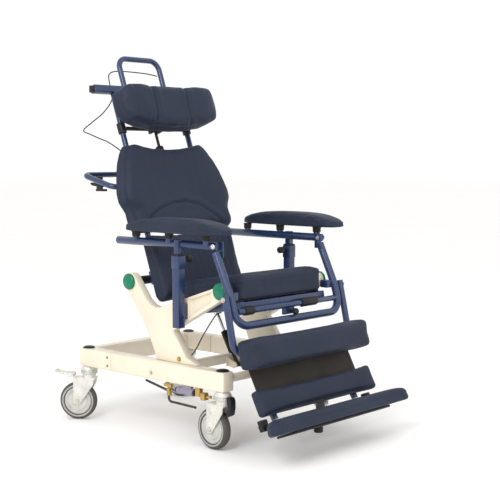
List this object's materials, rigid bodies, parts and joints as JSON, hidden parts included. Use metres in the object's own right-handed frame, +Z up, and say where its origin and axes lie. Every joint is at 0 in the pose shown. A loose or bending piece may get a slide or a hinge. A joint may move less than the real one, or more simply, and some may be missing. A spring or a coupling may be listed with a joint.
{
  "type": "reclining patient transfer chair",
  "caption": "Reclining patient transfer chair on castors, with V frames, padded seat, back, headrest, armrests, legrest and foot pad.",
  "frame": {"origin": "centre of the bounding box on the floor, back upright as stored", "axes": "+Z up, -Y the way the sitter faces, +X to the sitter's left"},
  "size_m": [0.67, 1.045, 1.2284],
  "materials": {
    "cream_enamel": "smooth cream enamel",
    "blue_enamel": "glossy dark blue enamel",
    "navy_vinyl": "soft navy coated fabric over foam",
    "black_plastic": "matt black plastic",
    "green_plastic": "glossy green plastic",
    "zinc_steel": "zinc plated steel",
    "grey_tread": "grey non-marking rubber",
    "chrome_steel": "polished chrome",
    "cable_rubber": "black cable sheath"
  },
  "bodies": {
    "base": {"side_rail_right": "cream_enamel", "side_rail_left": "cream_enamel", "rear_frame": "cream_enamel", "front_cross_tube": "cream_enamel", "middle_cross_tube": "cream_enamel", "v_frame_right": "cream_enamel", "v_frame_left": "cream_enamel", "pivot_cap_rear_right": "green_plastic", "pivot_cap_rear_left": "green_plastic", "pivot_cap_front_right": "green_plastic", "pivot_cap_front_left": "green_plastic", "strut_clevis": "cream_enamel", "armrest_sleeve_right": "blue_enamel", "armrest_sleeve_left": "blue_enamel", "front_hoop": "blue_enamel", "hoop_crossbar": "blue_enamel", "lock_rod": "zinc_steel", "lock_damper": "zinc_steel", "release_cable": "cable_rubber"},
    "seat": {"seat_frame": "blue_enamel", "seat_cushion": "navy_vinyl"},
    "strut": {"strut_cylinder": "black_plastic"},
    "strut_rod": {"strut_rod": "chrome_steel"},
    "back": {"back_frame": "blue_enamel", "back_shaft": "black_plastic", "back_cushion": "navy_vinyl", "lower_back_cushion": "navy_vinyl", "push_bar": "blue_enamel", "lever_bracket": "black_plastic", "head_crossbar": "blue_enamel", "push_loop": "blue_enamel", "recline_cable": "cable_rubber"},
    "lever": {"recline_lever": "black_plastic"},
    "head_slide": {"headrest_bar": "black_plastic"},
    "headrest": {"headrest_bracket": "black_plastic", "headrest_cushion": "navy_vinyl"},
    "leg": {"leg_frame": "blue_enamel", "calf_pad": "navy_vinyl", "shin_pad": "navy_vinyl", "leg_sling": "black_plastic"},
    "foot": {"foot_pad": "navy_vinyl", "foot_plate": "black_plastic"},
    "arm_right": {"armrest_frame_right": "blue_enamel", "arm_pad_right": "navy_vinyl"},
    "knob_right": {"arm_knob_right": "black_plastic"},
    "arm_left": {"armrest_frame_left": "blue_enamel", "arm_pad_left": "navy_vinyl"},
    "knob_left": {"arm_knob_left": "black_plastic"},
    "swivel_rear_right": {"castor_fork_rear_right": "zinc_steel"},
    "wheel_rear_right": {"wheel_rear_right": "grey_tread"},
    "pedal_rear_right": {"brake_pedal_rear_right": "zinc_steel"},
    "swivel_rear_left": {"castor_fork_rear_left": "zinc_steel"},
    "wheel_rear_left": {"wheel_rear_left": "grey_tread"},
    "pedal_rear_left": {"brake_pedal_rear_left": "zinc_steel"},
    "swivel_front_right": {"castor_fork_front_right": "zinc_steel"},
    "wheel_front_right": {"wheel_front_right": "grey_tread"},
    "pedal_front_right": {"castor_lever_front_right": "black_plastic"},
    "swivel_front_left": {"castor_fork_front_left": "zinc_steel"},
    "wheel_front_left": {"wheel_front_left": "grey_tread"},
    "pedal_front_left": {"castor_lever_front_left": "black_plastic"}
  },
  "joints": [
    {"name": "rear_right_swivel", "type": "hinge", "parent": "base", "child": "swivel_rear_right", "pos_m": [-0.236, 0.4025, 0.15], "axis": [0, 0, 1], "continuous": true},
    {"name": "rear_right_roll", "type": "hinge", "parent": "swivel_rear_right", "child": "wheel_rear_right", "pos_m": [-0.2569, 0.43423, 0.0635], "axis": [0.8351, 0.5501, 0], "continuous": true},
    {"name": "rear_right_brake", "type": "hinge", "parent": "swivel_rear_right", "child": "pedal_rear_right", "pos_m": [-0.269, 0.45261, 0.15], "axis": [-0.8351, -0.5501, 0], "range_deg": [0, 12]},
    {"name": "rear_left_swivel", "type": "hinge", "parent": "base", "child": "swivel_rear_left", "pos_m": [0.236, 0.4025, 0.15], "axis": [0, 0, 1], "continuous": true},
    {"name": "rear_left_roll", "type": "hinge", "parent": "swivel_rear_left", "child": "wheel_rear_left", "pos_m": [0.2284, 0.43973, 0.0635], "axis": [0.9798, 0.2, 0], "continuous": true},
    {"name": "rear_left_brake", "type": "hinge", "parent": "swivel_rear_left", "child": "pedal_rear_left", "pos_m": [0.224, 0.46129, 0.15], "axis": [-0.9798, -0.2, 0], "range_deg": [0, 12]},
    {"name": "front_right_swivel", "type": "hinge", "parent": "base", "child": "swivel_front_right", "pos_m": [-0.236, -0.2195, 0.15], "axis": [0, 0, 1], "continuous": true},
    {"name": "front_right_roll", "type": "hinge", "parent": "swivel_front_right", "child": "wheel_front_right", "pos_m": [-0.23372, -0.18157, 0.0635], "axis": [0.9982, -0.06, 0], "continuous": true},
    {"name": "front_right_direction_lock", "type": "hinge", "parent": "swivel_front_right", "child": "pedal_front_right", "pos_m": [-0.23786, -0.25044, 0.164], "axis": [-0.9982, 0.06, 0], "range_deg": [0, 6]},
    {"name": "front_left_swivel", "type": "hinge", "parent": "base", "child": "swivel_front_left", "pos_m": [0.236, -0.2195, 0.15], "axis": [0, 0, 1], "continuous": true},
    {"name": "front_left_roll", "type": "hinge", "parent": "swivel_front_left", "child": "wheel_front_left", "pos_m": [0.2664, -0.1967, 0.0635], "axis": [0.6, -0.8, 0], "continuous": true},
    {"name": "front_left_direction_lock", "type": "hinge", "parent": "swivel_front_left", "child": "pedal_front_left", "pos_m": [0.2112, -0.2381, 0.164], "axis": [-0.6, 0.8, 0], "range_deg": [0, 6]},
    {"name": "back_recline", "type": "hinge", "parent": "base", "child": "back", "pos_m": [0, 0.1965, 0.484], "axis": [-1, 0, 0], "range_deg": [0, 65]},
    {"name": "seat_tilt", "type": "hinge", "parent": "base", "child": "seat", "pos_m": [0, -0.2085, 0.484], "axis": [1, 0, 0], "range_deg": [0, 10.05]},
    {"name": "strut_swing", "type": "hinge", "parent": "base", "child": "strut", "pos_m": [0, -0.0615, 0.213], "axis": [1, 0, 0], "range_deg": [0, 3]},
    {"name": "strut_stroke", "type": "slide", "parent": "strut", "child": "strut_rod", "axis": [0, 0.4956, 0.8686], "range_m": [0, 0.048]},
    {"name": "recline_squeeze", "type": "hinge", "parent": "back", "child": "lever", "pos_m": [-0.215, 0.3535, 0.7935], "axis": [1, 0, 0], "range_deg": [0, 8], "stiffness_Nm_per_rad": 0.5, "springref_deg": -6.88},
    {"name": "headrest_height", "type": "slide", "parent": "back", "child": "head_slide", "axis": [0, 0.3338, 0.9426], "range_m": [-0.015, 0.06]},
    {"name": "headrest_tilt", "type": "hinge", "parent": "head_slide", "child": "headrest", "pos_m": [0, 0.32408, 0.97983], "axis": [1, 0, 0], "range_deg": [-10, 20]},
    {"name": "armrest_height_right", "type": "slide", "parent": "base", "child": "arm_right", "axis": [0, 0, 1], "range_m": [0, 0.06]},
    {"name": "armrest_plunger_right", "type": "slide", "parent": "base", "child": "knob_right", "axis": [1, 0, 0], "range_m": [0, 0.006], "stiffness_N_per_m": 300, "springref_m": -0.004},
    {"name": "armrest_height_left", "type": "slide", "parent": "base", "child": "arm_left", "axis": [0, 0, 1], "range_m": [0, 0.06]},
    {"name": "armrest_plunger_left", "type": "slide", "parent": "base", "child": "knob_left", "axis": [-1, 0, 0], "range_m": [0, 0.006], "stiffness_N_per_m": 300, "springref_m": -0.004},
    {"name": "legrest_raise", "type": "hinge", "parent": "base", "child": "leg", "pos_m": [0, -0.2685, 0.468], "axis": [-1, 0, 0], "range_deg": [0, 70]},
    {"name": "foot_pad_tilt", "type": "hinge", "parent": "leg", "child": "foot", "pos_m": [0, -0.3975, 0.106], "axis": [1, 0, 0], "range_deg": [0, 45]}
  ],
  "couplings": [
    {"joint": "seat_tilt", "follows": "back_recline", "ratio": 0.15385},
    {"joint": "strut_swing", "follows": "back_recline", "ratio": 0.031583},
    {"joint": "strut_stroke", "follows": "back_recline", "m_per_rad": 0.039895}
  ]
}
